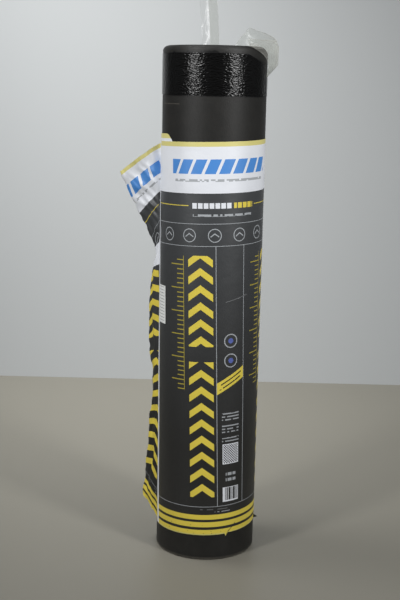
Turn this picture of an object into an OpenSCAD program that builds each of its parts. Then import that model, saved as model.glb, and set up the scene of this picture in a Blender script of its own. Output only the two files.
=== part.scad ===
// Roll of bituminous roofing felt standing on its end, with a film over its adhesive edge and a loose paper wrapper.
// Z is up, the floor is at zero, the front is toward -Y and angles are counted from the right side of the roll.

/* [Felt roll] */
// Height of the standing roll, which is the width of the felt
roll_height = 1000; // [950:5:1200]
// Outside diameter of the wound roll
roll_diameter = 200; // [170:1:260]
// Diameter of the open bore that the winding mandrel leaves
bore_diameter = 52; // [30:1:80]
// Thickness of one turn of felt
felt_thickness = 0.75; // [0.6:0.05:2]
// Depth of the groove between two turns on the ends
turn_groove = 0.4; // [0.2:0.05:0.8]
// Radius of the pressed shoulder round the top end
top_shoulder = 11; // [4:0.5:14]
// Radius of the worn edge round the foot
foot_edge = 4; // [1:0.5:8]
// Radius of the crushed corner at the right of the top end
crush_radius = 18; // [16:1:48]
// Angle of the middle of the crushed corner
crush_angle = 356; // [300:1:400]

/* [Release film] */
// Distance of the film's lower edge below the top end
film_drop = 91; // [85:1:140]
// Width of the film that lies flat round the roll
film_width = 76; // [62:1:80]
// Thickness of the film, heavier than life so that it prints and packs as a solid
film_thickness = 0.3; // [0.2:0.05:0.6]
// Clearance between the roll and the film
film_clearance = 0.3; // [0.25:0.05:1]
// Width of film above the peel line at its free end
film_free = 70; // [20:1:90]
// How far the peel line falls below the film's upper edge
film_peel_fall = 40; // [0:1:60]
// How far the upper edge falls toward the other end, below the crushed corner
film_end_fall = 20; // [0:1:30]
// How far the free end stands out from the roll
film_flare = 21; // [0:1:30]
// Angle of the middle of the free end
film_free_angle = 12; // [0:1:60]
// Angle that the free end's upper corner reaches over the front of the crushed corner
film_sweep = 39; // [0:1:45]

/* [Film tail] */
// Width of the strip that stands out of the top end
tail_width = 33; // [10:1:40]
// Height of the strip above the top end
tail_rise = 112; // [40:1:160]
// How far the strip leans to the left at its top
tail_lean = 9; // [0:1:30]
// Angle of the middle of the strip
tail_angle = 100; // [60:1:140]
// Number of the turn that holds the strip, counted from the bore
tail_turn = 45; // [35:1:60]
// Depth of the strip between the parted turns
tail_seat = 14; // [6:1:30]
// Clearance at each face of the strip in its seat
tail_clearance = 0.3; // [0.1:0.05:0.5]

/* [Paper wrapper] */
// Height of the wrapper's lower edge above the floor at its outer end
wrap_foot = 51; // [20:1:80]
// Width of bare felt between the wrapper's upper edge, at its outer end, and the film
bare_felt = 88; // [60:1:200]
// Rise of the sheet in one turn round the roll
wrap_lead = 18.5; // [0:0.5:30]
// Thickness of the paper, heavier than life so that it prints and packs as a solid
wrap_paper = 0.3; // [0.2:0.05:0.6]
// Clearance under the paper, and between its two layers at the lap
wrap_clearance = 0.4; // [0.3:0.05:1]
// Angle of the outer end of the sheet at its top
wrap_seam = 184; // [170:1:210]
// Angle that the inner end runs on under the outer end
wrap_lap = 33; // [15:1:45]
// How far the flap stands out at the top
flap_reach = 87; // [10:1:90]
// How far the flap's corner droops
flap_droop = 82; // [0:1:100]
// How far the loose paper stands out at half height
bulge_reach = 20; // [5:1:40]
// How far the corner at the foot stands out
corner_reach = 26; // [5:1:40]
// How far the corner at the foot is lifted
corner_lift = 29; // [0:1:40]
// How far the inner end has settled at the foot of the lap
lap_settle = 20; // [4:1:30]

/* [Seam sticker] */
// Height of the sticker
sticker_height = 75; // [40:1:120]
// Width of the sticker round the roll
sticker_width = 31; // [15:1:60]
// Height of the sticker's lower edge above the floor
sticker_foot = 469; // [100:1:650]
// Distance of the sticker from the outer end of the paper
sticker_inset = 10; // [1:1:60]
// Thickness of the sticker
sticker_thickness = 0.2; // [0.1:0.05:0.5]

/* [Hidden] */
$fn = 96;
roll_r = roll_diameter / 2;
bore_r = bore_diameter / 2;
film_foot = roll_height - film_drop;
wrap_height = film_foot - bare_felt - wrap_foot;
top_flat_r = roll_r - top_shoulder;
foot_flat_r = roll_r - foot_edge;
groove_half = felt_thickness * 0.22;
tail_r = bore_r + tail_turn * felt_thickness;
tail_slot = film_thickness + 2 * tail_clearance;
// The crushed edge stands this much proud of a full rounding, so it meets the end and the wall at an angle
crush_proud = crush_radius * 0.0273;
crush_inset = crush_radius - crush_proud;
wrap_inner_r = roll_r + wrap_clearance;
wrap_layer = wrap_paper + wrap_clearance;
// The sheet is square to its own helix, so its upright lines lean by the same slope
wrap_slope = wrap_lead / (360 * PI / 180 * roll_r);
wrap_lean = wrap_slope * 180 / (PI * roll_r);
// The loose stretch, as turned angles from the outer end
loose_from = 291;
loose_to = 356;
hang_to = 359;
crease_at = 344;
// Height of the pinch between the flap and the bulge, as a share of the sheet
pinch_share = 0.751;
wrap_step = 5;
sticker_r = wrap_inner_r + wrap_layer + wrap_paper + sticker_thickness / 4;

function smooth(x) = let (t = min(1, max(0, x))) t * t * (3 - 2 * t);
function at(angle, r, z) = [r * cos(angle), r * sin(angle), z];

// Closed skin between the inner and the outer face of a sheet, both grids of the same size
module skin(inner, outer) {
  rows = len(outer);
  cols = len(outer[0]);
  half = rows * cols;
  points = concat([for (row = outer) each row], [for (row = inner) each row]);
  faces_outer = [
    for (i = [0 : rows - 2], j = [0 : cols - 2])
      each [
        [i * cols + j, (i + 1) * cols + j, (i + 1) * cols + j + 1],
        [i * cols + j, (i + 1) * cols + j + 1, i * cols + j + 1]
      ]
  ];
  faces_inner = [for (f = faces_outer) [half + f[2], half + f[1], half + f[0]]];
  rim = concat(
    [for (j = [0 : cols - 2]) j],
    [for (i = [0 : rows - 2]) i * cols + cols - 1],
    [for (j = [cols - 1 : -1 : 1]) (rows - 1) * cols + j],
    [for (i = [rows - 1 : -1 : 1]) i * cols]
  );
  faces_rim = [
    for (k = [0 : len(rim) - 1])
      let (a = rim[k], b = rim[(k + 1) % len(rim)])
        each [[a, b, half + b], [a, half + b, half + a]]
  ];
  polyhedron(points, concat(faces_outer, faces_inner, faces_rim), convexity = 6);
}

// Grooves between the turns, as points along one end from the bore outward
function turn_edges(limit, level, inward) = [
  for (k = [1 : floor((limit - bore_r) / felt_thickness - 0.5)])
    each let (r = bore_r + k * felt_thickness)
      [[r - groove_half, level], [r, level + inward * turn_groove], [r + groove_half, level]]
];

// Half section of the roll: grooved ends, a round shoulder and a worn foot
module roll_section() {
  top_level = roll_height - top_shoulder;
  foot_end = concat([[bore_r, 0]], turn_edges(foot_flat_r, 0, 1), [[foot_flat_r, 0]]);
  top_end = concat([[bore_r, roll_height]], turn_edges(top_flat_r, roll_height, -1), [[top_flat_r, roll_height]]);
  wall = [[foot_flat_r, foot_edge], [roll_r, foot_edge], [roll_r, top_level], [top_flat_r, top_level]];
  union() {
    polygon(concat(foot_end, wall, [for (k = [len(top_end) - 1 : -1 : 0]) top_end[k]]));
    translate([foot_flat_r, foot_edge])
      circle(r = foot_edge);
    translate([top_flat_r, top_level])
      circle(r = top_shoulder);
  }
}

// Parted turns that hold the film tail
module tail_slot_section() {
  translate([tail_r - tail_slot / 2, roll_height - tail_seat])
    square([tail_slot, tail_seat + 1]);
}

// What a knock took off the corner: everything outside a straight round edge along the rim
module crushed_corner() {
  rotate([0, 0, crush_angle])
    translate([roll_r - crush_inset, 0, roll_height - crush_inset])
      difference() {
        translate([0, -roll_diameter, 0])
          cube([crush_radius + 2, 2 * roll_diameter, crush_radius + 2]);
        rotate([90, 0, 0])
          cylinder(r = crush_radius, h = 3 * roll_diameter, center = true);
      }
}

module felt_roll() {
  color([0.16, 0.16, 0.16])
    difference() {
      rotate_extrude()
        difference() {
          roll_section();
          tail_slot_section();
        }
      crushed_corner();
    }
}

// The upper edge falls toward the fixed end, and the peel line falls toward the free end
function film_upper(angle) = film_width - film_end_fall * smooth((angle - film_free_angle - 290) / 40);
function film_peel(angle) =
  film_upper(angle) - film_peel_fall * min(1, max(0, (film_free_angle + 50 - angle) / 60));
// Width beyond the peel line: straight edges that meet in a tip
function film_over(angle) =
  film_free * lookup(angle - film_free_angle, [[-28, 0.957], [0, 0.95], [38, 0.907], [64, 0]]);
// Above the peel line the film goes out, stands upright and leans back in, and its front edge sweeps over the corner
function film_point(angle, share, skin_offset) =
  let (
    past = angle - film_free_angle,
    peel = film_peel(angle),
    over = max(film_over(angle), film_upper(angle) - peel),
    path = share * (peel + over),
    part = max(0, path - peel) / max(1, over),
    side = smooth(-past / 28),
    sweep = film_sweep * side * pow(min(1, max(0, (part - 0.2) / 0.62)), 2),
    spread = smooth((48 - past) / 46) * (1 - 0.8 * side),
    out = film_flare * spread * lookup(part, [[0, 0], [0.28, 1], [0.8, 1], [1, 0.7]])
  )
    at(angle - sweep, roll_r + film_clearance + skin_offset + out, film_foot + path);

module release_film() {
  angles = [for (a = [film_free_angle - 28 : 4 : film_free_angle + 330]) a];
  shares = [for (k = [0 : 14]) k / 14];
  color([0.8, 0.82, 0.82, 0.35])
    skin(
      [for (a = angles) [for (s = shares) film_point(a, s, 0)]],
      [for (a = angles) [for (s = shares) film_point(a, s, film_thickness)]]
    );
}

// The tail keeps the curl of the turn that it comes from, and leans as it rises
function tail_point(share, rise, skin_offset) =
  let (
    spread = tail_width * 180 / (PI * tail_r),
    angle = tail_angle + (share - 0.5) * spread,
    lean = tail_lean * pow(max(0, rise) / tail_rise, 1.5)
  )
    at(angle, tail_r - film_thickness / 2 + skin_offset, roll_height + rise) - [lean, 0, 0];

module film_tail() {
  rises = concat([-tail_seat], [for (k = [0 : 12]) tail_rise * k / 12]);
  shares = [for (k = [0 : 8]) k / 8];
  color([0.85, 0.87, 0.87, 0.35])
    skin(
      [for (s = shares) [for (r = rises) tail_point(s, r, 0)]],
      [for (s = shares) [for (r = rises) tail_point(s, r, film_thickness)]]
    );
}

// Share of the looseness at a turned angle: none on the roll, full at the crease
function wrap_loose(turn) =
  turn < crease_at
    ? pow(max(0, (turn - loose_from) / (crease_at - loose_from)), 1.4)
    : max(0, (loose_to - turn) / (loose_to - crease_at));
// The droop and the lift carry on a little further, to the outer end
function wrap_hang(turn) =
  turn < crease_at ? wrap_loose(turn) : max(0, (hang_to - turn) / (hang_to - crease_at));
function wrap_reach(share) = lookup(share, [
  [0, corner_reach],
  [0.36, bulge_reach * 0.45],
  [0.5, bulge_reach],
  [0.62, bulge_reach * 0.8],
  [pinch_share, bulge_reach * 0.15],
  [1, flap_reach]
]);
function wrap_point(turn, share, skin_offset) =
  let (
    loose = wrap_loose(turn),
    over_lap = 1 - smooth((turn - wrap_lap - 4) / 14),
    r = wrap_inner_r + wrap_layer * over_lap + wrap_reach(share) * loose + skin_offset,
    lift = wrap_hang(turn) * (corner_lift - (corner_lift + flap_droop) * share),
    settle = lap_settle * (1 - 0.8 * share) * smooth((turn - crease_at) / (360 - crease_at)),
    angle = wrap_seam + turn + wrap_lean * wrap_height * (1 - share)
  )
    at(angle, r, wrap_foot + wrap_lead * turn / 360 + wrap_height * share + lift - settle);

module paper_wrap() {
  turns = concat(
    [for (a = [0 : wrap_step : loose_from - 1]) a],
    [for (k = [0 : 8]) loose_from + (crease_at - loose_from) * k / 8],
    [for (k = [1 : 4]) crease_at + (loose_to - crease_at) * k / 4],
    [for (k = [1 : 6]) loose_to + (360 + wrap_lap - loose_to) * k / 6]
  );
  shares = [for (k = [0 : 25]) k / 25];
  color([0.2, 0.2, 0.2])
    skin(
      [for (t = turns) [for (s = shares) wrap_point(t, s, 0)]],
      [for (t = turns) [for (s = shares) wrap_point(t, s, wrap_paper)]]
    );
}

module seam_sticker() {
  turn = sticker_width * 180 / (PI * sticker_r);
  share = (sticker_foot + sticker_height / 2 - wrap_foot) / wrap_height;
  start = wrap_seam + wrap_lean * wrap_height * (1 - share) + sticker_inset * 180 / (PI * sticker_r);
  color([0.86, 0.86, 0.84])
    rotate([0, 0, start])
      rotate_extrude(angle = turn)
        translate([sticker_r, sticker_foot])
          square([sticker_thickness, sticker_height]);
}

felt_roll();
release_film();
film_tail();
paper_wrap();
seam_sticker();
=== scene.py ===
import math
import bpy
from mathutils import Matrix, Vector, noise


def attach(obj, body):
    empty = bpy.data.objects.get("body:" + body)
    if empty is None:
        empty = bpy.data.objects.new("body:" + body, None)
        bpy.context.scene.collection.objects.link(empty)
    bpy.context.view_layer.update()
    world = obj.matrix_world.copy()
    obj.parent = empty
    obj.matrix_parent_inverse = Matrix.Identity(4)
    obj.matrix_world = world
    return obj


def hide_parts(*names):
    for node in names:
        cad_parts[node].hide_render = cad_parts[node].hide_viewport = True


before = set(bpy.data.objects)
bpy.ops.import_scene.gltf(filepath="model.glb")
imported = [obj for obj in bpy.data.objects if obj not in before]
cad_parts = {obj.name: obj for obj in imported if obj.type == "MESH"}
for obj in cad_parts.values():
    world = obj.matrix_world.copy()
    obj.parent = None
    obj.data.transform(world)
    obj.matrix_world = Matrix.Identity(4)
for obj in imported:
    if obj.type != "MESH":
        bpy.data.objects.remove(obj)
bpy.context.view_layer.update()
scene = bpy.context.scene
scene.view_settings.view_transform = "Standard"  # keeps the print's yellow and blue as strong as they are
print("frame loaded:", len(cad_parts), "solids")


def linear(hexColour):
    # sRGB hex to the linear values that shaders take
    parts = [int(hexColour[i:i + 2], 16) / 255 for i in (1, 3, 5)]
    return [p / 12.92 if p <= 0.04045 else ((p + 0.055) / 1.055) ** 2.4 for p in parts] + [1.0]


def startMaterial(name):
    # an empty material, and the function that adds its nodes
    material = bpy.data.materials.new(name)
    material.use_nodes = True
    tree = material.node_tree
    tree.nodes.clear()

    def add(kind, links=None, **settings):
        # links gives each socket its value, or the socket or node that feeds it
        node = tree.nodes.new("ShaderNode" + kind)
        for setting, value in settings.items():
            setattr(node, setting, value)
        for socket, value in (links or {}).items():
            if isinstance(value, bpy.types.Node):
                value = next(output for output in value.outputs if output.enabled)
            if isinstance(value, bpy.types.NodeSocket):
                tree.links.new(value, node.inputs[socket])
            else:
                node.inputs[socket].default_value = value
        return node

    return material, add


def addBlock(add, first, second):
    # mask of a block: axis, middle and half width, both ways
    sides = [add("Math", {0: axis, 1: middle, 2: half}, operation="COMPARE")
             for axis, middle, half in (first, second)]
    return add("Math", {0: sides[0], 1: sides[1]}, operation="MULTIPLY")


def addStripes(add, axis, pitchMm, boldMm, side="LESS_THAN"):
    # mask of stripes across an axis, or with GREATER_THAN of the gaps between them
    saw = add("Math", {0: axis, 1: pitchMm / 2000}, operation="PINGPONG")
    return add("Math", {0: saw, 1: boldMm / 2000}, operation=side)


def clamp(x):
    return min(1.0, max(0.0, x))


def smooth(x):
    t = clamp(x)
    return t * t * (3.0 - 2.0 * t)


def between(x, pairs):
    # straight lines through the listed pairs
    for (x0, y0), (x1, y1) in zip(pairs, pairs[1:]):
        if x <= x1:
            return y0 + (y1 - y0) * max(0.0, x - x0) / (x1 - x0)
    return pairs[-1][1]


def noiseAt(x, y, z):
    return noise.noise(Vector((x, y, z)))


def polar(angle, radius, height):
    turned = math.radians(angle)
    return Vector((radius * math.cos(turned), radius * math.sin(turned), height))


def meshPiece(name, points, faces, uvMaps, materials, faceMaterials):
    # uvMaps holds, for each named map, one place for each corner of each face
    mesh = bpy.data.meshes.new(name)
    mesh.from_pydata(points, [], faces)
    for mapName, corners in uvMaps.items():
        layer = mesh.uv_layers.new(name=mapName)
        flat = [value for face in corners for place in face for value in place]
        layer.data.foreach_set("uv", flat)
    for material in materials:
        mesh.materials.append(material)
    mesh.polygons.foreach_set("material_index", faceMaterials)
    mesh.shade_smooth()
    piece = bpy.data.objects.new(name, mesh)
    scene.collection.objects.link(piece)
    return piece


def gridNormals(grid):
    rows, cols = len(grid), len(grid[0])
    normals = []
    for i in range(rows):
        up, down = grid[min(i + 1, rows - 1)], grid[max(i - 1, 0)]
        line = []
        for j in range(cols):
            along = grid[i][min(j + 1, cols - 1)] - grid[i][max(j - 1, 0)]
            line.append(along.cross(up[j] - down[j]).normalized())
        normals.append(line)
    return normals


def makeGrid(size, placeAt):
    # points of a sheet, and their places on it laid flat, row by row
    grid, places = [], []
    for i in range(size["rows"] + 1):
        line = [placeAt(i, j) for j in range(size["columns"] + 1)]
        grid.append([point for point, place in line])
        places.append([place for point, place in line])
    return grid, places


sheetMake = {
    "sharpAngle": 70,  # keeps the cut edges crisp
    "bakeSides": ((0.005, 0.65), (0.665, 0.325)),  # left and width in the bake map: outer face, then back
    "bakeLow": 0.005, "bakeTall": 0.99,
}


def sheetPiece(name, grid, places, thickness, materials, pickMaterial=None):
    # closed thin sheet: the grid is its outer face, and its back lies one thickness inside
    rows, cols = len(grid), len(grid[0])
    count = rows * cols
    normals = gridNormals(grid)
    points = [p for line in grid for p in line]
    points += [grid[i][j] - normals[i][j] * thickness for i in range(rows) for j in range(cols)]
    flat = [place for line in places for place in line]
    wide = max(place[0] for place in flat)
    high = max(place[1] for place in flat)
    low, tall = sheetMake["bakeLow"], sheetMake["bakeTall"]
    faces, sheetMap, bakeMap, kinds = [], [], [], []

    def addFace(corners, side):
        faces.append(corners)
        own = [flat[c % count] for c in corners]
        sheetMap.append(own)
        left, width = sheetMake["bakeSides"][side]
        bakeMap.append([(left + width * u / wide, low + tall * v / high) for u, v in own])
        kinds.append(pickMaterial(own) if pickMaterial else min(side, len(materials) - 1))

    for i in range(rows - 1):
        for j in range(cols - 1):
            a, b, c, d = i * cols + j, i * cols + j + 1, (i + 1) * cols + j + 1, (i + 1) * cols + j
            addFace((a, b, c, d), 0)
            addFace((count + a, count + d, count + c, count + b), 1)  # split along the same diagonal
    rim = list(range(cols - 1))
    rim += [i * cols + cols - 1 for i in range(rows - 1)]
    rim += [(rows - 1) * cols + j for j in range(cols - 1, 0, -1)]
    rim += [i * cols for i in range(rows - 1, 0, -1)]
    for a, b in zip(rim, rim[1:] + rim[:1]):
        addFace((b, a, count + a, count + b), 1)
    piece = meshPiece(name, points, faces, {"sheet": sheetMap, "OFBake": bakeMap}, materials, kinds)
    piece.data.set_sharp_from_angle(angle=math.radians(sheetMake["sharpAngle"]))
    return piece


# the roll is wound as one strip, so that its turns run in a spiral on both ends
rollSize = {
    "height": 1.0, "radius": 0.1, "bore": 0.026,
    "felt": 0.00075,      # thickness of one turn
    "steps": 64,          # mesh steps in a turn
    "groove": 0.0006,     # depth between two turns on the ends
    "lip": (0.28, 0.72),  # where a turn's edge is flat, in shares of its thickness
    "scatter": 0.0005, "footScatter": 0.5,  # how unevenly the turns stand, and the foot's share of that
    "scatterTurn": 1.7, "scatterEnd": 9.0,  # its noise from turn to turn, and from end to end
    "swing": 0.35, "swingDegrees": 57.3,    # and round a turn, one radian in so many degrees
    "shoulder": 0.011, "footEdge": 0.004,
    "crushAngle": 356.0, "crushRadius": 0.018, "crushInset": 0.0175086,
    "outerEnd": 24.0,     # angle where the felt ends on the outside
    "wave": 0.0005,       # slack of the outer turn
    "waveRound": 1.6, "waveUp": 9,      # its noise round the roll and up it
    "waveTop": 0.03, "waveFoot": 0.02,  # it dies out this near the ends
    "wallRows": 90, "boreRows": 24, "sharpAngle": 55,
}
rollMap = {  # places in the bake map
    "discs": {1: (0.805, 0.79), -1: (0.805, 0.405)}, "discScale": 1.85,  # top and foot
    "wallLeft": 0.005, "wallWide": 0.59, "wallTop": 0.99, "wallTall": 0.98,
    "boreLeft": 0.62, "boreWide": 0.37, "boreLow": 0.01, "boreTall": 0.17,
    "wallStep": (0.601, 0.597), "boreStep": (0.19, 0.185),  # steps where the felt starts and ends
}


def edgeRound(radius, edge):
    # how far a rounded edge has fallen away at this radius
    into = (radius - rollSize["radius"] + edge) / edge
    return edge * (1 - math.sqrt(max(0.0, 1 - min(1.0, into) ** 2))) if into > 0 else 0.0


def topDrop(radius, angle):
    # how far the end lies below its highest level: pressed shoulder, then the crushed corner
    size = rollSize
    drop = edgeRound(radius, size["shoulder"])
    past = radius * math.cos(math.radians(angle - size["crushAngle"])) - size["radius"] + size["crushInset"]
    if past > 0:
        arc = math.sqrt(max(0.0, size["crushRadius"] ** 2 - past ** 2))
        drop = max(drop, size["crushInset"] - arc)
    return drop


def makeRoll(material):
    size = rollSize
    steps, felt, scatter = size["steps"], size["felt"], size["scatter"]
    wallRows, boreRows = size["wallRows"], size["boreRows"]
    last = round((size["radius"] - felt - size["bore"]) / felt * steps)
    angles = [size["outerEnd"] + (i - last) * 360 / steps for i in range(last + 1)]
    inner = [size["bore"] + felt * i / steps for i in range(last + 1)]
    points, faces, corners = [], [], []

    def addPoint(i, radius, height):
        points.append(polar(angles[i], radius, height))
        return len(points) - 1

    # spiral of edges on the top, then on the foot: groove, inner lip and outer lip at every step
    profile = [(0.0, size["groove"])] + [(share, 0.0) for share in size["lip"]]
    for end in (1, -1):
        for i in range(last + 1):
            swing = size["swing"] * math.sin(angles[i] / size["swingDegrees"])
            lift = scatter * noiseAt(i / steps * size["scatterTurn"], size["scatterEnd"] * end, swing)
            for share, sink in profile:
                r = inner[i] + share * felt
                if end > 0:
                    z = size["height"] - topDrop(r, angles[i]) - sink + lift - scatter
                else:
                    z = edgeRound(r, size["footEdge"]) + sink + (scatter + lift) * size["footScatter"]
                addPoint(i, r, z)
    foot = 3 * (last + 1)  # first point of the foot's spiral
    # columns of points down the outer wall; the first one is the groove behind the felt's outer end
    wall, boreWall = [], []
    for c in range(steps + 1):
        i = last - steps + c
        r = inner[i] + felt
        column = [addPoint(i, r, size["height"] - topDrop(r, angles[i]) - scatter) if c else 3 * last]
        high = points[column[0]].z
        rise = edgeRound(r, size["footEdge"]) + scatter * size["footScatter"]
        low = rise if c else points[foot + 3 * last].z
        turned = angles[i] / size["swingDegrees"]
        sway = (size["waveRound"] * math.cos(turned), size["waveRound"] * math.sin(turned))
        for row in range(1, wallRows):
            z = high + (low - high) * row / wallRows
            slack = noiseAt(*sway, z * size["waveUp"])
            ease = smooth((high - z) / size["waveTop"]) * smooth((z - low) / size["waveFoot"])
            column.append(addPoint(i, r - size["wave"] * ease * (0.5 + 0.5 * slack), z))
        wall.append(column + [addPoint(i, r, low) if c else foot + 3 * last])
    for i in range(steps + 1):
        high, low = points[3 * i].z, points[foot + 3 * i].z
        column = [addPoint(i, inner[i], high + (low - high) * row / boreRows) for row in range(1, boreRows)]
        boreWall.append([3 * i] + column + [foot + 3 * i])

    def addEnd(end, face):
        # faces are listed as on the top, and turned over on the foot
        x, y = rollMap["discs"][end]
        scale = rollMap["discScale"]
        faces.append(face if end > 0 else face[::-1])
        corners.append([(x + points[k].x * scale, y + points[k].y * scale) for k in faces[-1]])

    def addWall(left, right, mapLeft, mapRight):
        for row in range(wallRows):
            faces.append((left[row + 1], right[row + 1], right[row], left[row]))
            high, low = [rollMap["wallTop"] - rollMap["wallTall"] * (row + k) / wallRows for k in (0, 1)]
            corners.append([(mapLeft, low), (mapRight, low), (mapRight, high), (mapLeft, high)])

    def addBore(left, right, mapLeft, mapRight):
        for row in range(boreRows):
            faces.append((left[row], right[row], right[row + 1], left[row + 1]))
            near, far = [rollMap["boreLeft"] + rollMap["boreWide"] * (row + k) / boreRows for k in (0, 1)]
            corners.append([(near, mapLeft), (near, mapRight), (far, mapRight), (far, mapLeft)])

    for end, base, rim in ((1, 0, 0), (-1, foot, -1)):
        for i in range(last):
            a, b = base + 3 * i, base + 3 * (i + 1)
            for k in (0, 1):
                addEnd(end, (a + k, a + k + 1, b + k + 1, b + k))
            if i + 1 + steps <= last:
                nextA, nextB = a + 3 * steps, b + 3 * steps
            else:
                nextA, nextB = [wall[i - last + steps + k][rim] for k in (0, 1)]
            addEnd(end, (a + 2, nextA, nextB, b + 2))
        # cut ends of the felt, at the bore and on the outside
        addEnd(end, (base + 1, base + 2, base + 3 * steps, base))
        final = base + 3 * last
        addEnd(end, (wall[-1][rim], final + 2, final + 1, final))
    for c in range(steps):
        wallPlace = [rollMap["wallLeft"] + rollMap["wallWide"] * (c + k) / steps for k in (0, 1)]
        borePlace = [rollMap["boreLow"] + rollMap["boreTall"] * (c + k) / steps for k in (0, 1)]
        addWall(wall[c], wall[c + 1], *wallPlace)
        addBore(boreWall[c], boreWall[c + 1], *borePlace)
    addWall(wall[-1], wall[0], *rollMap["wallStep"])
    addBore(boreWall[-1], boreWall[0], *rollMap["boreStep"])
    piece = meshPiece("roll", points, faces, {"OFBake": corners}, [material], [0] * len(faces))
    piece.data.set_sharp_from_angle(angle=math.radians(size["sharpAngle"]))
    return piece


def feltMaterial():
    # bituminous felt, calendered: a dull grey fibre face, the cut edges of the turns paler with dust,
    # and a black tacky edge strip with a wet shine
    finish = {
        "face": "#21211f", "faceDark": "#1b1a19", "dust": "#282725", "strip": "#070707",
        "floorDust": "#6e6a62", "scuff": "#47443f",
        "fibreMm": 1.6,       # real fibres are finer, drawn coarser so that they show
        "mottleMm": 24.0,
        "dustFrom": 0.007, "dustFull": 0.001,  # heights between which the floor's dust grows
        "scuffAcross": (-0.079, 0.0145), "scuffUp": (0.8925, 0.0007),  # middle and half length
        "stripLow": 0.907, "stripHigh": 0.987, "stripRadius": 0.0975,
        "ragged": 0.024,      # unevenness of the strip's upper edge
        "worn": 0.014, "wornFrom": 0.040, "wornFull": 0.085,  # strip lost toward the crushed corner
    }
    material, add = startMaterial("bituminousFeltCalendered")
    place = add("TexCoord").outputs["Object"]
    x, y, z = add("SeparateXYZ", {0: place}).outputs
    # fibres lie mostly along the height
    drawn = add("Mapping", {"Vector": place, "Scale": (1.0, 1.0, 0.35)})
    fibre = add("TexNoise", {
        "Vector": drawn, "Scale": 1000 / finish["fibreMm"], "Detail": 3.0, "Roughness": 0.6})
    mottle = add("TexNoise", {
        "Vector": place, "Scale": 1000 / finish["mottleMm"], "Detail": 5.0, "Roughness": 0.65})
    ground = add("Mix", {
        0: fibre, 6: linear(finish["faceDark"]), 7: linear(finish["face"])}, data_type="RGBA")
    dusty = add("MapRange", {
        "Value": mottle, "From Min": 0.42, "From Max": 0.72, "To Min": 0.0, "To Max": 0.6})
    # the worn foot is pale with floor dust, and the neck has a scuff at the left
    low = add("MapRange", {
        "Value": z, "From Min": finish["dustFrom"], "From Max": finish["dustFull"],
        "To Min": 0.0, "To Max": 1.3})
    soiled = add("Math", {0: low, 1: mottle}, operation="MULTIPLY")
    line = addBlock(add, (z, *finish["scuffUp"]), (x, *finish["scuffAcross"]))
    front = add("Math", {0: y, 1: 0.0}, operation="LESS_THAN")
    scuff = add("Math", {0: line, 1: front}, operation="MULTIPLY")
    # the tacky strip is on the outer wall only
    flat = add("VectorMath", {0: place, 1: (1.0, 1.0, 0.0)}, operation="MULTIPLY")
    radius = add("VectorMath", {0: flat}, operation="LENGTH")
    outer = add("Math", {0: radius, 1: finish["stripRadius"]}, operation="GREATER_THAN")
    # its upper edge is ragged, and worn away toward the crushed corner
    worn = add("MapRange", {
        "Value": x, "From Min": finish["wornFrom"], "From Max": finish["wornFull"],
        "To Min": 0.0, "To Max": finish["worn"]}, interpolation_type="SMOOTHSTEP")
    ragged = add("Math", {
        0: mottle, 1: finish["ragged"], 2: -finish["ragged"] / 2}, operation="MULTIPLY_ADD")
    lost = add("Math", {0: worn, 1: ragged}, operation="ADD")
    level = add("Math", {0: z, 1: lost}, operation="ADD")
    under = add("Math", {0: level, 1: finish["stripHigh"]}, operation="LESS_THAN")
    over = add("Math", {0: z, 1: finish["stripLow"]}, operation="GREATER_THAN")
    band = add("Math", {0: under, 1: over}, operation="MULTIPLY")
    strip = add("Math", {0: outer, 1: band}, operation="MULTIPLY")
    colour = ground
    for mask, name in ((dusty, "dust"), (soiled, "floorDust"), (scuff, "scuff"), (strip, "strip")):
        colour = add("Mix", {0: mask, 6: colour, 7: linear(finish[name])}, data_type="RGBA")
    rough = add("MapRange", {"Value": strip, "To Min": 0.48, "To Max": 0.42})
    bump = add("Bump", {"Height": fibre, "Strength": 0.5, "Distance": 0.0006})
    shader = add("BsdfPrincipled", {
        "Base Color": colour, "Roughness": rough, "IOR": 1.5, "Specular IOR Level": 0.3, "Normal": bump})
    add("OutputMaterial", {0: shader})
    return material


roll = makeRoll(feltMaterial())
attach(roll, "root")
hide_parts("felt_roll")
print("roll wound:", len(roll.data.polygons), "faces")


# release film round the adhesive edge, with a free end at the right
# freeAngle is the free end's middle, and the angles listed below it count from there
filmSize = {
    "foot": 0.909, "width": 0.076, "clear": 0.0005, "thick": 0.00012,
    "from": -16.0, "to": 342.0, "freeAngle": 12.0, "columns": 358, "rows": 66,
    "endFall": 0.020, "endFrom": 290.0, "endOver": 40.0,       # the band narrows to its other end
    "ragged": 0.0012, "raggedFrom": 70.0, "raggedOver": 20.0, "raggedWave": 0.17,  # uneven pressed edge
    "peelFall": 0.040, "peelTo": 50.0, "peelOver": 60.0,       # the peel line climbs away from the free end
    "free": 0.070,        # free height, and its share by angle
    "freeShape": ((-28, 0.957), (0, 0.95), (38, 0.907), (64, 0.0)),
    "flare": 0.021, "flareTo": 48.0, "flareOver": 46.0,        # how far the free end stands off, by height
    "flareShape": ((0.0, 0.0), (0.28, 1.0), (0.8, 1.0), (1.0, 0.7)), "flareLost": 0.8,
    "sweep": 39.0, "sweepOver": 28.0,  # how far the free end's upper corner reaches over the front
    "sweepFrom": 0.2, "sweepRise": 0.62,
    "crinkle": 0.0016, "inset": 0.0002,  # folds in the free end, and the most that one may sink in
    "foldWaves": (0.075, 0.8), "fineWaves": (0.16, 3), "fineShare": 0.4,  # by angle, by height
    "foldSharp": 3, "foldRise": 3,
    "pressedPart": 0.02,  # less than this is free where the film counts as pressed on
    "edgeWide": 0.001, "edgePart": 0.985, "cornerWide": 0.012, "cornerPart": (0.74, 0.88),  # whitened
}


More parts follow.
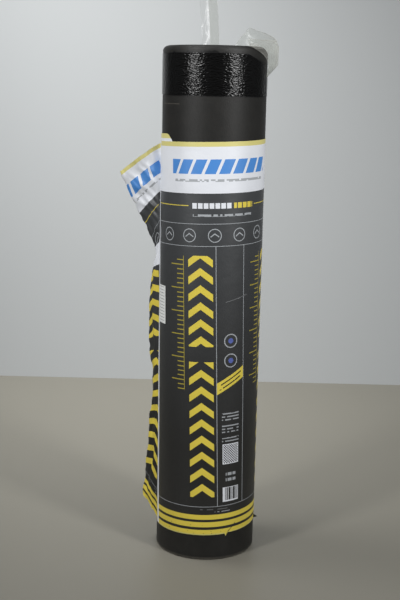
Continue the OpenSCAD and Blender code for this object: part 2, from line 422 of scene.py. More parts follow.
def filmEdges(angle):
    # height of the peel line over the film's foot, and the width beyond it
    size = filmSize
    past = angle - size["freeAngle"]
    upper = size["width"] - size["endFall"] * smooth((past - size["endFrom"]) / size["endOver"])
    worn = smooth((past - size["raggedFrom"]) / size["raggedOver"])
    upper += size["ragged"] * worn * noiseAt(angle * size["raggedWave"], 3.0, 6.0)
    peel = upper - size["peelFall"] * clamp((size["peelTo"] - past) / size["peelOver"])
    over = size["free"] * between(past, size["freeShape"])
    return peel, max(over, upper - peel)


def filmPlace(angle, share):
    size = filmSize
    past = angle - size["freeAngle"]
    peel, over = filmEdges(angle)
    path = share * (peel + over)
    part = max(0.0, path - peel) / max(0.001, over)
    side = smooth(-past / size["sweepOver"])
    sweep = side * clamp((part - size["sweepFrom"]) / size["sweepRise"]) ** 2
    spread = smooth((size["flareTo"] - past) / size["flareOver"]) * (1 - size["flareLost"] * side)
    out = size["flare"] * spread * between(part, size["flareShape"])
    # folds run up from the peel line and spread like a fan
    wide, fine = [noiseAt(angle * size[name][0], part * size[name][1], seed)
                  for name, seed in (("foldWaves", 2.0), ("fineWaves", 5.0))]
    fold = 1 - size["foldSharp"] * abs(wide) + size["fineShare"] * fine
    out += size["crinkle"] * spread * smooth(part * size["foldRise"]) * fold
    radius = rollSize["radius"] + size["clear"] + max(-size["inset"], out)
    spot = (math.radians(angle - size["from"]) * rollSize["radius"], path)
    return polar(angle - size["sweep"] * sweep, radius, size["foot"] + path), spot, part


def addCrinkles(add, wideMm, fineMm, wideDeep, fineDeep):
    # crinkles lie round the roll, so they are drawn flatter than they are wide
    # the real ones are finer, drawn coarser so that they show
    place = add("TexCoord").outputs["Object"]
    drawn = add("Mapping", {"Vector": place, "Scale": (0.6, 0.6, 1.3)})
    wide = add("TexNoise", {"Vector": drawn, "Scale": 1000 / wideMm, "Detail": 2.0})
    fine = add("TexNoise", {"Vector": drawn, "Scale": 1000 / fineMm, "Detail": 0.0})
    first = add("Bump", {"Height": wide, "Strength": 1.0, "Distance": wideDeep})
    return add("Bump", {"Height": fine, "Strength": 1.0, "Distance": fineDeep, "Normal": first})


def filmMaterial(name, haze, crinkle, shine, clearHex):
    # polyethylene release film, cast: clear, with a hard glint along every crinkle
    finish = {
        "haze": "#dcdbd4", "crinkleMm": 6.5, "fineMm": 3.2, "crinkleDeep": 0.0016, "fineDeep": 0.0011,
        "through": 0.4,  # share of the haze that lets light through
        "edgeOn": 3.5,   # how much milkier the film looks along its face
    }
    material, add = startMaterial(name)
    bump = addCrinkles(add, finish["crinkleMm"], finish["fineMm"],
                       finish["crinkleDeep"] * crinkle, finish["fineDeep"] * crinkle)
    clear = add("BsdfTransparent", {"Color": linear(clearHex)})
    cloud = add("BsdfDiffuse", {"Color": linear(finish["haze"]), "Normal": bump})
    glint = add("BsdfGlossy", {"Roughness": 0.16, "Normal": bump})
    lit = add("BsdfTranslucent", {"Color": linear(finish["haze"]), "Normal": bump})
    milk = add("MixShader", {0: finish["through"], 1: cloud, 2: lit})
    facing = add("LayerWeight", {"Blend": 0.35, "Normal": bump}).outputs["Facing"]
    milky = add("MapRange", {
        "Value": facing, "From Min": 0.1, "From Max": 0.9, "To Min": haze, "To Max": haze * finish["edgeOn"]})
    body = add("MixShader", {0: milky, 1: clear, 2: milk})
    shader = add("MixShader", {0: shine, 1: body, 2: glint})
    add("OutputMaterial", {0: shader})
    return material


def pressedMaterial():
    # polyethylene film pressed on to the tacky strip: as black as the strip behind it,
    # with a hard glint on every crinkle
    finish = {"strip": "#040404", "crinkleMm": 5.2, "fineMm": 2.6, "crinkleDeep": 0.00072, "fineDeep": 0.0006}
    material, add = startMaterial("polyethyleneFilmPressedOn")
    bump = addCrinkles(add, finish["crinkleMm"], finish["fineMm"], finish["crinkleDeep"], finish["fineDeep"])
    shader = add("BsdfPrincipled", {
        "Base Color": linear(finish["strip"]), "Roughness": 0.21, "IOR": 1.37, "Normal": bump})
    add("OutputMaterial", {0: shader})
    return material


def makeFilm(materials):
    size = filmSize
    freed = {}

    def placeAt(i, j):
        angle = size["from"] + (size["to"] - size["from"]) * j / size["columns"]
        point, spot, part = filmPlace(angle, i / size["rows"])
        freed[spot] = part
        return point, spot

    def pickFilm(own):
        # pressed on below the peel line, free above it, and whitened along its edges and over the corner
        parts = [freed[spot] for spot in own]
        if sum(parts) < size["pressedPart"]:
            return 0
        along = min(spot[0] for spot in own)
        low, high = size["cornerPart"]
        folded = along < size["cornerWide"] and low < min(parts) < high
        return 2 if max(parts) > size["edgePart"] or along < size["edgeWide"] or folded else 1

    grid, places = makeGrid(size, placeAt)
    return sheetPiece("film", grid, places, size["thick"], materials, pickFilm), places[-1]


# share of haze, depth of crinkle, share of glint, colour of what shows through
filmFree = filmMaterial("polyethyleneFilmCast", 0.075, 0.28, 0.012, "#f8f9f8")
filmEdge = filmMaterial("polyethyleneFilmTornEdge", 0.18, 0.28, 0.03, "#f6f7f6")
filmTaut = filmMaterial("polyethyleneFilmDrawn", 0.025, 0.25, 0.014, "#fdfdfd")
filmDoubled = filmMaterial("polyethyleneFilmDoubled", 0.11, 0.25, 0.004, "#f4f5f4")
film, filmTop = makeFilm([pressedMaterial(), filmFree, filmEdge])
filmLong = filmTop[-1][0]
filmHigh = max(spot[1] for spot in filmTop)
filmArea = sum(spot[1] for spot in filmTop) / len(filmTop) * filmLong
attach(film, "root")
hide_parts("release_film")


# tail of the same film, standing up between two turns of the top end
tailSize = {
    "width": 0.035, "rise": 0.112, "seat": 0.008, "angle": 100.0, "radius": 0.05975, "thick": 0.00012,
    "columns": 28, "rows": 60,
    "lean": 0.009, "leanCurve": 1.5, "wave": 0.0010, "waves": (60, 18),
    "ridge": 0.0040, "ridgeHalf": 0.018, "ridgeBase": 0.4, "ridgeRise": 4,  # fold toward the front
    "crest": 0.0200, "crestFall": 0.0205, "sway": 0.002, "swayWaves": 30,  # its line climbs to the right
    "dent": 0.0016, "dentAcross": (0.011, 0.005), "dentUp": (0.034, 0.010),  # middle and half width
    "doubled": 0.0176,    # width of the stretch that is folded double
}


def makeTail(materials):
    size = tailSize

    def placeAt(i, j):
        rise = -size["seat"] + (size["rise"] + size["seat"]) * i / size["rows"]
        up = max(0.0, rise) / size["rise"]
        across = (j / size["columns"] - 0.5) * size["width"]
        angle = size["angle"] + math.degrees(across / size["radius"])
        sway = size["sway"] * noiseAt(1.0, rise * size["swayWaves"], 9.0)
        crest = size["crest"] - size["crestFall"] * up + sway
        folded = max(0.0, 1 - abs(across - crest) / size["ridgeHalf"]) - size["ridgeBase"]
        (middle, half), (level, tall) = size["dentAcross"], size["dentUp"]
        dent = math.exp(-((across - middle) / half) ** 2 - ((rise - level) / tall) ** 2)
        ripple = size["wave"] * up * noiseAt(across * size["waves"][0], rise * size["waves"][1], 4.0)
        ripple -= smooth(up * size["ridgeRise"]) * (size["ridge"] * folded - size["dent"] * dent)
        point = polar(angle, size["radius"] + ripple, rollSize["height"] + rise)
        lean = Vector((size["lean"] * up ** size["leanCurve"], 0, 0))
        return point - lean, (across + size["width"] / 2, rise + size["seat"])

    def pickTail(own):
        # along its right half the strip is folded double, and looks milkier
        return 1 if max(u for u, v in own) <= size["doubled"] else 0

    grid, places = makeGrid(size, placeAt)
    return sheetPiece("filmTail", grid, places, size["thick"], materials, pickTail)


tail = makeTail([filmTaut, filmDoubled])
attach(tail, "root")
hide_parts("film_tail")
print("film laid")


# paper wrapper: one sheet wound once round, loose before it goes under its own start
# its turns are degrees from that start
wrapSize = {
    "foot": 0.051, "height": 0.770, "lead": 0.0185, "seam": 184.0, "lap": 31.0,
    "paper": 0.00016, "clear": 0.0006, "layer": 0.0006,
    "least": 0.0004,      # nearest that the paper comes to the felt
    "turnStep": 0.75, "turnEnd": 540.0,  # steps by which the length of paper is measured
    "looseFrom": 291.0, "creaseAt": 344.0, "looseTo": 356.0, "hangTo": 359.0, "looseCurve": 1.4,
    "flapReach": 0.087, "flapDroop": 0.082, "bulgeReach": 0.020, "cornerReach": 0.026, "cornerLift": 0.029,
    "bulge": ((0.36, 0.45), (0.5, 1.0), (0.62, 0.92), (0.70, 0.8)),  # share of the height, of the reach
    "pinch": 0.751, "blend": 0.012,  # share of the height at the pinch, and over which the outline is rounded
    "settle": 0.020, "settleLost": 0.8,
    "overlapTo": 150.0, "overlapEase": 16.0,  # the outer layer stays clear of the inner end to here
    "cornerRound": 0.010,  # rounded corner of the inner end
    "columns": 250, "rows": 140,
    "crumple": 0.0035, "pleat": 0.0030, "slack": 0.0003, "softRise": 2.2, "fineShare": 0.5, "pleatSharp": 2,
    "wrinkleWaves": (55, 30), "fineWaves": (120, 75), "pleatWaves": (70, 9), "slackWaves": (16, 7),  # a metre
    "valley": 0.010, "valleyWide": 0.012, "valleyEase": 0.02,  # the flap sinks in beside the seam
    "valleyLine": ((0.605, 0.677), (0.770, 0.785)), "valleyFrom": 0.60, "valleyRise": 0.05,
    "shreds": ((0.173, 0.007, 0.0), (0.273, -0.002, 0.008)),  # along the lower edge: place, drop, reach
    "nick": 0.003,        # cut beside each shred
}
wrapOutline = [(0.0, wrapSize["cornerReach"])]
wrapOutline += [(share, wrapSize["bulgeReach"] * part) for share, part in wrapSize["bulge"]]
wrapOutline += [(wrapSize["pinch"], 0.0), (1.0, wrapSize["flapReach"])]


def wrapLoose(turn):
    size = wrapSize
    if turn < size["creaseAt"]:
        risen = max(0.0, (turn - size["looseFrom"]) / (size["creaseAt"] - size["looseFrom"]))
        return risen ** size["looseCurve"]
    return max(0.0, (size["looseTo"] - turn) / (size["looseTo"] - size["creaseAt"]))


def wrapHang(turn):
    size = wrapSize
    if turn < size["creaseAt"]:
        return wrapLoose(turn)
    return max(0.0, (size["hangTo"] - turn) / (size["hangTo"] - size["creaseAt"]))


def wrapReach(share):
    near = [between(clamp(share + k * wrapSize["blend"]), wrapOutline) for k in (-2, -1, 0, 1, 2)]
    return sum(near) / len(near)


def wrapPlace(turn, share):
    size = wrapSize
    loose, hang = wrapLoose(turn), wrapHang(turn)
    over = 1 - smooth((turn - size["overlapTo"]) / size["overlapEase"])
    radius = rollSize["radius"] + size["clear"] + size["layer"] * over + wrapReach(share) * loose
    lift = hang * (size["cornerLift"] - (size["cornerLift"] + size["flapDroop"]) * share)
    settled = smooth((turn - size["creaseAt"]) / (360 - size["creaseAt"]))
    settle = size["settle"] * (1 - size["settleLost"] * share) * settled
    lean = size["lead"] / (2 * math.pi * rollSize["radius"]) / rollSize["radius"]
    angle = size["seam"] + turn + math.degrees(lean * size["height"]) * (1 - share)
    height = size["foot"] + size["lead"] * turn / 360 + size["height"] * share + lift - settle
    return polar(angle, radius, height)


def rowAlong(share):
    # one line of the sheet, with the length of paper up to each of its points
    count = round(wrapSize["turnEnd"] / wrapSize["turnStep"])
    turns = [k * wrapSize["turnStep"] for k in range(count + 1)]
    path = [wrapPlace(turn, share) for turn in turns]
    along = [0.0]
    for a, b in zip(path, path[1:]):
        along.append(along[-1] + (b - a).length)
    return turns, path, along


def takeAt(row, distance):
    turns, path, along = row
    low, high = 0, len(along) - 1
    while high - low > 1:
        half = (low + high) // 2
        low, high = (half, high) if along[half] <= distance else (low, half)
    part = (distance - along[low]) / (along[high] - along[low])
    return path[low].lerp(path[high], part), turns[low] + (turns[high] - turns[low]) * part


def wrapPush(u, v, turn):
    # crumples, pleats and the valley beside the seam, out along the sheet's own face
    size = wrapSize
    wrinkle, fine, crimp, slack = [
        noiseAt(u * size[name][0], v * size[name][1], seed) for name, seed in (
            ("wrinkleWaves", 1.0), ("fineWaves", 3.0), ("pleatWaves", 7.0), ("slackWaves", 11.0))]
    soft = smooth((wrapLoose(turn) if turn < 360 else 0.0) * size["softRise"])
    folds = size["crumple"] * (wrinkle + size["fineShare"] * fine)
    folds += size["pleat"] * (1 - size["pleatSharp"] * abs(crimp))
    past = u - between(v, size["valleyLine"])
    sink = clamp(past / size["valleyWide"] + 1) * (1 - smooth(past / size["valleyEase"]))
    valley = size["valley"] * sink * smooth((v - size["valleyFrom"]) / size["valleyRise"])
    return soft * folds + size["slack"] * slack * (1 - soft) - valley


def makeWrapper(materials):
    size = wrapSize
    rows, columns = size["rows"], size["columns"]
    lines = [rowAlong(i / rows) for i in range(rows + 1)]
    topAlong = lines[-1][2]
    sheetLong = topAlong[round((360 + size["lap"]) / size["turnStep"])]
    turnAt = {}

    def placeAt(i, j):
        distance = sheetLong * j / columns
        # the inner end's upper corner is cut round
        into = (distance - sheetLong + size["cornerRound"]) / size["cornerRound"]
        cut = size["cornerRound"] * (1 - math.sqrt(max(0.0, 1 - into * into))) if into > 0 else 0.0
        share = (size["height"] - cut) / size["height"] * i / rows
        low = min(rows - 1, int(share * rows))
        a, turnA = takeAt(lines[low], distance)
        b, turnB = takeAt(lines[low + 1], distance)
        part = share * rows - low
        turnAt[i, j] = turnA + (turnB - turnA) * part
        return a.lerp(b, part), (distance, share * size["height"])

    grid, places = makeGrid(size, placeAt)
    for place, drop, reach in size["shreds"]:
        j = round(place / sheetLong * columns)
        outward = Vector((grid[0][j].x, grid[0][j].y, 0)).normalized()
        grid[0][j] = grid[0][j] + outward * reach - Vector((0, 0, drop))
        grid[0][j + 1] = grid[0][j + 1] + Vector((0, 0, size["nick"]))
    normals = gridNormals(grid)
    for i in range(rows + 1):
        for j in range(columns + 1):
            turn = turnAt[i, j]
            p = grid[i][j] + normals[i][j] * wrapPush(*places[i][j], turn)
            # the paper stays outside the felt, and outside its own inner end
            flat = math.hypot(p.x, p.y)
            least = rollSize["radius"] + size["least"] + (size["layer"] if turn < size["overlapTo"] else 0.0)
            if flat < least:
                p = Vector((p.x * least / flat, p.y * least / flat, p.z))
            grid[i][j] = p
    return sheetPiece("wrapper", grid, places, size["paper"], materials), sheetLong


def printMaterial():
    # thin coated paper, gravure printed: satin inks with a soft shine, chalk white where no ink lies
    finish = {
        "inks": {
            # the second colour here is the dark ink ground with painted light from above on it, used toward
            # the top
            "ink": "#232322", "inkHigh": "#3f4143", "white": "#dfe2e8", "grey": "#a3a7ab", "scuff": "#6b6c6e",
            "yellow": "#dcc84c", "dimYellow": "#a8993a", "paleYellow": "#d2c97f",
            "blue": "#4a88cf", "indigo": "#5563a6"},
        "upperFrom": 0.055, "upperPitch": 0.296,  # the upper pattern repeats round the sheet at this pitch
        "lowerFrom": 0.045, "lowerPitch": 0.170,  # and the one below it at this one
        "cellMm": (4.2, 5.5), "cellLost": 0.22,   # fine blocks, and the share of them left out
        "blockMm": (11.0, 2.2), "slantMm": (27.0, 6.0), "slant": 0.45,   # pitch and gap
        "gableMm": (33.0, 14.4), "gableSlope": 0.75, "gableAt": 0.0805,  # pitch and line
        "tickMm": (9.0, 2.0), "longTickMm": (45.0, 2.0),
        "checkMm": 2.6, "barMm": 1.1, "climb": 0.54, "rowsFrom": 0.247, "rowsPitch": 0.0062,
        "ringsRound": 6, "badgeAt": 0.1393, "peak": (0.0035, 0.0012), "peakReach": 0.0085,
        "plainTo": 0.0455, "marginTo": 0.0095,
        "gritMm": 4.0, "gritOver": 0.69, "gritTo": 0.020,
        "doubledAcross": (0.6420, 0.0260), "doubledUp": (0.8790, 0.0260), "doubledSlope": 0.49,
        # heights between which the ink ground is painted lighter toward the top, as painted light from above
        "paintedLightFrom": 0.18, "paintedLightTo": 0.64,
        "creaseMm": 40.0, "toothMm": 2.5,         # real tooth is finer, drawn coarser so that it shows
    }
    inks = {name: linear(hexColour) for name, hexColour in finish["inks"].items()}
    material, add = startMaterial("coatedPaperGravurePrinted")
    spot = add("UVMap", uv_map="sheet").outputs[0]
    across, up = add("SeparateXYZ", {0: spot}).outputs[:2]
    repeats = []
    for part in ("upper", "lower"):
        moved = add("Math", {0: across, 1: finish[part + "From"]}, operation="SUBTRACT")
        repeats.append(add("Math", {0: moved, 1: finish[part + "Pitch"], 2: 0.0}, operation="WRAP"))
    upper, lower = repeats

    # fine blocks in rows, some left out by chance
    cells = [add("Math", {0: axis, 1: mm / 1000}, operation="SNAP")
             for axis, mm in zip((across, up), finish["cellMm"])]
    cell = add("CombineXYZ", {0: cells[0], 1: cells[1]})
    chance = add("TexWhiteNoise", {"Vector": cell}, noise_dimensions="2D")
    broken = add("Math", {0: chance, 1: finish["cellLost"]}, operation="GREATER_THAN")
    # larger blocks in a row, and slanted ones in the white band
    spaced = addStripes(add, upper, *finish["blockMm"], "GREATER_THAN")
    slant = add("Math", {0: up, 1: -finish["slant"], 2: upper}, operation="MULTIPLY_ADD")
    slanted = addStripes(add, slant, *finish["slantMm"], "GREATER_THAN")
    # chevrons like gables, one above the other up the bold column
    aside = add("Math", {0: lower, 1: finish["gableAt"]}, operation="SUBTRACT")
    away = add("Math", {0: aside}, operation="ABSOLUTE")
    slope = add("Math", {0: away, 1: finish["gableSlope"], 2: up}, operation="MULTIPLY_ADD")
    gables = addStripes(add, slope, *finish["gableMm"])
    # scale of fine ticks, every fifth one long
    ticks = addStripes(add, up, *finish["tickMm"])
    longTicks = addStripes(add, up, *finish["longTickMm"])
    # check and bars in the two white blocks, and a banner that climbs to the right
    check = add("TexChecker", {"Vector": spot, "Scale": 1000 / finish["checkMm"]}).outputs["Fac"]
    barCell = add("Math", {0: lower, 1: finish["barMm"] / 1000}, operation="SNAP")
    barChance = add("TexWhiteNoise", {"W": barCell}, noise_dimensions="1D")
    bars = add("Math", {0: barChance, 1: 0.5}, operation="GREATER_THAN")
    climb = add("Math", {0: lower, 1: -finish["climb"], 2: up}, operation="MULTIPLY_ADD")
    # beside its margin the outer end is plain
    printed = add("Math", {0: across, 1: finish["plainTo"]}, operation="GREATER_THAN")

    layers = []  # mask and ink, each over the ones before it
    # bands, stripes and rules right round the sheet: lower and upper height, ink
    bands = (
        (0.675, 0.770, "white"), (0.7612, 0.771, "paleYellow"),
        (0.0313, 0.0412, "yellow"), (0.0155, 0.0260, "yellow"), (-0.001, 0.0098, "yellow"),
        (-0.001, 0.0010, "paleYellow"),
        (0.0575, 0.0585, "grey"), (0.5755, 0.5765, "grey"), (0.6175, 0.6185, "grey"),
    )
    for low, high, ink in bands:
        mask = add("Math", {0: up, 1: (low + high) / 2, 2: (high - low) / 2}, operation="COMPARE")
        layers.append((mask, ink))
    # blocks: axis, middle, half width, second axis, middle, half height, ink, pattern in it
    blocks = [
        (upper, 0.1155, 0.1040, up, 0.7245, 0.0135, "blue", slanted),
        (upper, 0.1140, 0.0960, up, 0.6990, 0.0024, "grey", broken),
        (upper, 0.0945, 0.0385, up, 0.6520, 0.0052, "white", spaced),
        (upper, 0.1575, 0.0215, up, 0.6520, 0.0052, "yellow", spaced),
        (upper, 0.0240, 0.0240, up, 0.6520, 0.0007, "yellow", None),
        (upper, 0.2405, 0.0555, up, 0.6520, 0.0007, "yellow", None),
        (upper, 0.1165, 0.0595, up, 0.6340, 0.0022, "grey", broken),
        (lower, 0.0805, 0.0240, up, 0.2150, 0.1370, "yellow", gables),
        (lower, 0.0805, 0.0240, up, 0.4700, 0.0880, "yellow", gables),
        (lower, 0.0385, 0.0075, up, 0.4265, 0.1305, "dimYellow", ticks),
        (lower, 0.0310, 0.0150, up, 0.4265, 0.1305, "dimYellow", longTicks),
        (lower, 0.0462, 0.0006, up, 0.4265, 0.1305, "dimYellow", None),
        (lower, 0.1105, 0.0006, up, 0.3170, 0.2585, "grey", None),
        (lower, 0.1680, 0.0006, up, 0.3170, 0.2585, "grey", None),
        (lower, 0.1393, 0.0285, climb, 0.2375, 0.0115, "yellow", None),
        (lower, 0.1393, 0.0230, climb, 0.2415, 0.0014, "ink", broken),
        (lower, 0.1393, 0.0230, climb, 0.2330, 0.0014, "ink", broken),
        (lower, 0.1390, 0.0175, up, 0.1645, 0.0205, "white", None),
        (lower, 0.1390, 0.0160, up, 0.1645, 0.0190, "ink", check),
        (lower, 0.1390, 0.0110, up, 0.1230, 0.0030, "grey", spaced),
        (lower, 0.1390, 0.0110, up, 0.1115, 0.0030, "grey", spaced),
        (lower, 0.1390, 0.0175, up, 0.0810, 0.0150, "white", None),
        (lower, 0.1390, 0.0160, up, 0.0820, 0.0130, "ink", bars),
        (lower, 0.1040, 0.0280, up, 0.0523, 0.0007, "scuff", broken),
        (lower, 0.1210, 0.0160, up, 0.0468, 0.0007, "grey", broken),
        (across, 0.2730, 0.0045, up, 0.0, 0.0075, "ink", None),  # shred at the lower edge, drawn dark in ink
    ]
    for k in (0, 1, 2, 4, 5, 6, 8, 9):  # fine rows, with a gap after every third
        height = finish["rowsFrom"] - finish["rowsPitch"] * k
        blocks.append((lower, 0.1390, 0.0185, up, height, 0.0012, "grey", broken))
    for axis, middle, half, axis2, height, halfHeight, ink, pattern in blocks:
        mask = addBlock(add, (axis, middle, half), (axis2, height, halfHeight))
        for part in (pattern, printed if axis == lower else None):
            if part is not None:
                mask = add("Math", {0: mask, 1: part}, operation="MULTIPLY")
        layers.append((mask, ink))

    # rings: a row of them with a gable in each, and two badges: axis, height, radius, half line, core
    apart = finish["upperPitch"] / finish["ringsRound"]
    rowAcross = add("Math", {0: upper, 1: apart / 2, 2: -apart / 2}, operation="WRAP")
    badgeAcross = add("Math", {0: lower, 1: finish["badgeAt"]}, operation="SUBTRACT")
    rings = (
        (rowAcross, 0.5962, 0.0122, 0.0008, None),
        (badgeAcross, 0.3920, 0.0128, 0.0010, 0.0052),
        (badgeAcross, 0.3530, 0.0128, 0.0010, 0.0052),
    )
    for axis, height, radius, halfLine, core in rings:
        offset = add("Math", {0: up, 1: height}, operation="SUBTRACT")
        middle = add("CombineXYZ", {0: axis, 1: offset})
        far = add("VectorMath", {0: middle}, operation="LENGTH")
        line = add("Math", {0: far, 1: radius, 2: halfLine}, operation="COMPARE")
        if core:
            disc = add("Math", {0: far, 1: core}, operation="LESS_THAN")
            for shape, ink in ((line, "grey"), (disc, "indigo")):
                layers.append((add("Math", {0: shape, 1: printed}, operation="MULTIPLY"), ink))
        else:
            side = add("Math", {0: axis}, operation="ABSOLUTE")
            roof = add("Math", {
                0: side, 1: finish["gableSlope"], 2: offset}, operation="MULTIPLY_ADD")
            peak = add("Math", {
                0: roof, 1: finish["peak"][0], 2: finish["peak"][1]}, operation="COMPARE")
            inside = add("Math", {0: far, 1: finish["peakReach"]}, operation="LESS_THAN")
            mark = add("Math", {0: peak, 1: inside}, operation="MULTIPLY")
            layers += [(line, "grey"), (mark, "grey")]

    # scratches across the right of the front and a split at the lower edge:
    # slope, height, half width, middle, reach, ink
    scratches = (
        (0.23, 0.4279, 0.0006, 0.198, 0.024, "scuff"),
        (0.42, 0.3886, 0.0005, 0.209, 0.009, "scuff"),
        (0.91, -0.1595, 0.0009, 0.1857, 0.0085, "ink"),
    )
    for slope, height, half, middle, reach, ink in scratches:
        drag = add("Math", {0: across, 1: -slope, 2: up}, operation="MULTIPLY_ADD")
        layers.append((addBlock(add, (drag, height, half), (across, middle, reach)), ink))
    # the lowest stripes are speckled with dirt
    grit = add("TexNoise", {"Vector": spot, "Scale": 1000 / finish["gritMm"], "Detail": 2.0})
    dirt = add("Math", {0: grit, 1: finish["gritOver"]}, operation="GREATER_THAN")
    foot = add("Math", {0: up, 1: finish["gritTo"]}, operation="LESS_THAN")
    layers.append((add("Math", {0: dirt, 1: foot}, operation="MULTIPLY"), "ink"))
    # below the pinch the paper is doubled back and shows its white side
    fold = add("Math", {0: across, 1: finish["doubledSlope"], 2: up}, operation="MULTIPLY_ADD")
    layers.append((addBlock(add, (across, *finish["doubledAcross"]), (fold, *finish["doubledUp"])), "white"))
    # the outer end has an unprinted margin
    margin = add("Math", {0: across, 1: finish["marginTo"]}, operation="LESS_THAN")
    layers.append((margin, "white"))

    # the dark ink ground is painted lighter toward the top: painted light from above
    paintedTopLight = add("MapRange", {
        "Value": up, "From Min": finish["paintedLightFrom"], "From Max": finish["paintedLightTo"]})
    colour = add("Mix", {0: paintedTopLight, 6: inks["ink"], 7: inks["inkHigh"]}, data_type="RGBA")
    for mask, ink in layers:
        colour = add("Mix", {0: mask, 6: colour, 7: inks[ink]}, data_type="RGBA")
    tooth = add("TexNoise", {"Vector": spot, "Scale": 1000 / finish["toothMm"], "Detail": 2.0})
    crease = add("TexNoise", {"Vector": spot, "Scale": 1000 / finish["creaseMm"], "Detail": 4.0})
    first = add("Bump", {"Height": crease, "Strength": 0.6, "Distance": 0.002})
    bump = add("Bump", {"Height": tooth, "Strength": 0.2, "Distance": 0.0003, "Normal": first})
    rough = add("MapRange", {"Value": tooth, "To Min": 0.36, "To Max": 0.50})
    shader = add("BsdfPrincipled", {
        "Base Color": colour, "Roughness": rough, "IOR": 1.5, "Specular IOR Level": 0.5, "Normal": bump})
    add("OutputMaterial", {0: shader})
    return material


def reverseMaterial():
    # uncoated back of the paper: chalky, with a faint cloud of fibres
    finish = {"paper": "#dcdfe0", "cloud": "#c9ccce", "cloudMm": 9.0}
    material, add = startMaterial("uncoatedPaperBack")
    spot = add("UVMap", uv_map="sheet").outputs[0]
    cloud = add("TexNoise", {
        "Vector": spot, "Scale": 1000 / finish["cloudMm"], "Detail": 5.0, "Roughness": 0.7})
    colour = add("Mix", {
        0: cloud, 6: linear(finish["paper"]), 7: linear(finish["cloud"])}, data_type="RGBA")
    shader = add("BsdfPrincipled", {"Base Color": colour, "Roughness": 0.85, "IOR": 1.5})
    add("OutputMaterial", {0: shader})
    return material


wrapper, sheetLong = makeWrapper([printMaterial(), reverseMaterial()])
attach(wrapper, "root")
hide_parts("paper_wrap")
print("wrapper wound:", round(sheetLong, 4), "m of paper")


# sticker on the wrapper, beside its outer end
stickerSize = {
    "from": 0.010, "width": 0.031, "foot": 0.418, "height": 0.075, "thick": 0.00012, "lift": 0.0006,
    "columns": 20, "rows": 40,
}


def stickerMaterial():
    # white paper label, direct thermal: matt coat with a few grey rows
    finish = {"paper": "#dfe1df", "rows": "#8d9092", "rowMm": (6.0, 1.2), "rowHalf": 0.011}
    material, add = startMaterial("thermalLabelMattCoated")
    spot = add("UVMap", uv_map="sheet").outputs[0]
    across, up = add("SeparateXYZ", {0: spot}).outputs[:2]
    rows = addStripes(add, up, *finish["rowMm"])
    inside = add("Math", {
        0: across, 1: stickerSize["width"] / 2, 2: finish["rowHalf"]}, operation="COMPARE")
    mask = add("Math", {0: rows, 1: inside}, operation="MULTIPLY")
    colour = add("Mix", {
        0: mask, 6: linear(finish["paper"]), 7: linear(finish["rows"])}, data_type="RGBA")
    shader = add("BsdfPrincipled", {"Base Color": colour, "Roughness": 0.6, "IOR": 1.5})
    add("OutputMaterial", {0: shader})
    return material


def makeSticker(material):
    size = stickerSize
    heights = [size["height"] * i / size["rows"] for i in range(size["rows"] + 1)]
    lines = [rowAlong((size["foot"] + v) / wrapSize["height"]) for v in heights]

    def placeAt(i, j):
        u = size["width"] * j / size["columns"]
        point = takeAt(lines[i], size["from"] + u)[0]
        outward = Vector((point.x, point.y, 0)).normalized()
        return point + outward * size["lift"], (u, heights[i])

    grid, places = makeGrid(size, placeAt)
    return sheetPiece("sticker", grid, places, size["thick"], [material])


sticker = makeSticker(stickerMaterial())
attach(sticker, "root")
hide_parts("seam_sticker")
print("sticker laid")


# room, lights and camera
room = {
    "front": -6.0, "wallAt": 1.22, "wallHigh": 4.0, "halfWidth": 5.0,
    "floor": "#7e7b71", "floorRough": 0.45, "wall": "#b0b3b4", "wallRough": 0.9,
    "fill": "#f2f4f6", "fillStrength": 0.20,
}


def addPlane(name, material, near, far):
    # near and far edges, each as depth and height
    half = room["halfWidth"]
    mesh = bpy.data.meshes.new(name)
    mesh.from_pydata([(-half, *near), (half, *near), (half, *far), (-half, *far)], [], [(0, 1, 2, 3)])
    mesh.materials.append(material)
    plane = bpy.data.objects.new(name, mesh)
    scene.collection.objects.link(plane)


# floor paint, rolled on: even and slightly shiny
floorMaterial, add = startMaterial("mattFloorPainted")
shader = add("BsdfPrincipled", {
    "Base Color": linear(room["floor"]), "Roughness": room["floorRough"]})
add("OutputMaterial", {0: shader})
# matt wall paint, on a one-sided set wall, so that the roll can be seen from behind as well
wallMaterial, add = startMaterial("mattPaintRolled")
paint = add("BsdfPrincipled", {
    "Base Color": linear(room["wall"]), "Roughness": room["wallRough"]})
behind = add("NewGeometry").outputs["Backfacing"]
shader = add("MixShader", {0: behind, 1: paint, 2: add("BsdfTransparent")})
add("OutputMaterial", {0: shader})
wallFoot = (room["wallAt"], 0)
addPlane("floor", floorMaterial, (room["front"], 0), wallFoot)
addPlane("backWall", wallMaterial, wallFoot, (room["wallAt"], room["wallHigh"]))

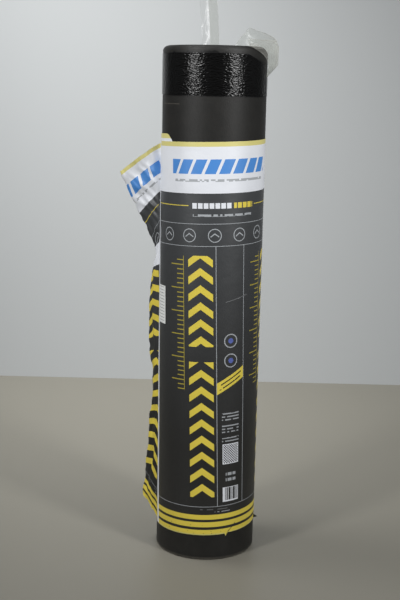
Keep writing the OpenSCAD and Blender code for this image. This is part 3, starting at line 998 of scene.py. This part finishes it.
lights = {  # angle round the roll, distance, height, aim, width and height, watts, spread
    "softboxLeft": (226.0, 1.55, 1.60, (0, 0, 0.88), (0.26, 1.6), 8.4, 105.0),
    "softboxRight": (315.0, 1.55, 1.60, (0, 0, 0.88), (0.26, 1.6), 9.5, 105.0),
    "wallLight": (159.4, 0.908, 2.6, (-0.12, 1.22, 0.0), (1.0, 0.6), 11.5, 66.0),
    "ceilingBox": (270.0, 0.8, 3.4, (0, -0.8, 0), (3.2, 3.2), 12.0, 180.0),
}
for name, (angle, distance, height, aim, (wide, tall), watts, spread) in lights.items():
    data = bpy.data.lights.new(name, "AREA")
    data.shape = "RECTANGLE"
    data.size, data.size_y, data.energy, data.spread = wide, tall, watts, math.radians(spread)
    lamp = bpy.data.objects.new(name, data)
    lamp.location = polar(angle, distance, height)
    lamp.rotation_euler = (Vector(aim) - lamp.location).to_track_quat("-Z", "Y").to_euler()
    scene.collection.objects.link(lamp)
world = bpy.data.worlds.new("studioFill")
world.use_nodes = True
fill = world.node_tree.nodes["Background"].inputs
fill[0].default_value, fill[1].default_value = linear(room["fill"]), room["fillStrength"]
scene.world = world

# place in metres, angles in radians, lens and sensor in millimetres
view = {"place": (0.0, -2.08662, 0.92883), "pitch": 0.19892, "roll": 0.02123, "yaw": -0.0093,
        "lens": 64.19, "sensor": 36.0}
forward = math.cos(view["pitch"])
sight = Vector((math.sin(view["yaw"]) * forward, math.cos(view["yaw"]) * forward, -math.sin(view["pitch"])))
level = Vector((math.cos(view["yaw"]), -math.sin(view["yaw"]), 0))
upward = level.cross(sight)
right = level * math.cos(view["roll"]) + upward * math.sin(view["roll"])
top = upward * math.cos(view["roll"]) - level * math.sin(view["roll"])
cameraData = bpy.data.cameras.new("camera")
cameraData.lens, cameraData.sensor_width = view["lens"], view["sensor"]
camera = bpy.data.objects.new("camera", cameraData)
camera.matrix_world = Matrix(
    [(right[k], top[k], -sight[k], view["place"][k]) for k in range(3)] + [(0, 0, 0, 1)])
scene.collection.objects.link(camera)
scene.camera = camera
print("room, lights and camera set")

bpy.context.view_layer.update()
